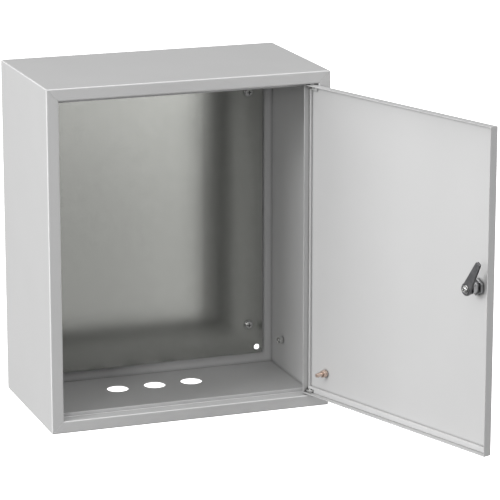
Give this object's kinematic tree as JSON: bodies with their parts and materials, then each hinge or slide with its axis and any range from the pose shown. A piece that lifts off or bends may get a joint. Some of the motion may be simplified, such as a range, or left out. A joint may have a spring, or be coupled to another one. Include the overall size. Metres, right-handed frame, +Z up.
{
  "type": "steel wall enclosure",
  "caption": "Wall-mounted sheet-steel enclosure with a hinged door, quarter-turn lock, galvanised mounting panel and round cable entries.",
  "frame": {"origin": "centre of the rear face, which is also the centre of the four wall fixing holes", "axes": "+Y out of the rear face into the wall, -Y out of the door side, +X to the hinge side, +Z up"},
  "size_m": [0.5247, 0.5908, 0.5],
  "materials": {
    "body_paint": "semi-gloss powder coat, fine grain",
    "door_paint": "semi-gloss powder coat, fine grain",
    "galvanised_steel": "galvanised sheet, soft reflections",
    "zinc_plate": "bright zinc plating",
    "copper_plate": "copper-plated weld stud",
    "lock_chrome": "nickel-chrome plated zinc casting",
    "cam_steel": "dark passivated steel"
  },
  "bodies": {
    "cabinet": {"left_side_sheet": "body_paint", "right_side_sheet": "body_paint", "top_sheet": "body_paint", "bottom_sheet": "body_paint", "rear_sheet": "body_paint", "mounting_panel": "galvanised_steel", "panel_spacers": "zinc_plate", "panel_washers": "zinc_plate", "panel_screws": "zinc_plate", "body_earth_stud": "zinc_plate", "body_earth_washer": "zinc_plate", "body_earth_nut": "zinc_plate", "upper_hinge_block": "body_paint", "upper_hinge_pin": "zinc_plate", "upper_hinge_washer": "zinc_plate", "lower_hinge_block": "body_paint", "lower_hinge_pin": "zinc_plate", "lower_hinge_washer": "zinc_plate"},
    "door": {"door_leaf": "door_paint", "upper_hinge_plate": "zinc_plate", "lower_hinge_plate": "zinc_plate", "door_earth_stud": "copper_plate", "door_earth_washer": "copper_plate", "door_earth_nut": "copper_plate", "lock_housing": "lock_chrome", "lock_nut": "lock_chrome"},
    "lock_core": {"lock_plug": "lock_chrome", "lock_cam": "cam_steel", "cam_washer": "zinc_plate", "cam_screw": "zinc_plate"}
  },
  "joints": [
    {"name": "door_hinge", "type": "hinge", "parent": "cabinet", "child": "door", "pos_m": [0.18415, -0.234, 0], "axis": [0, 0, 1], "range_deg": [-109.5, 5.5]},
    {"name": "lock_turn", "type": "hinge", "parent": "door", "child": "lock_core", "pos_m": [0.30419, -0.55801, 0.003], "axis": [0.9426, 0.3338, 0], "range_deg": [-29, 61]}
  ]
}
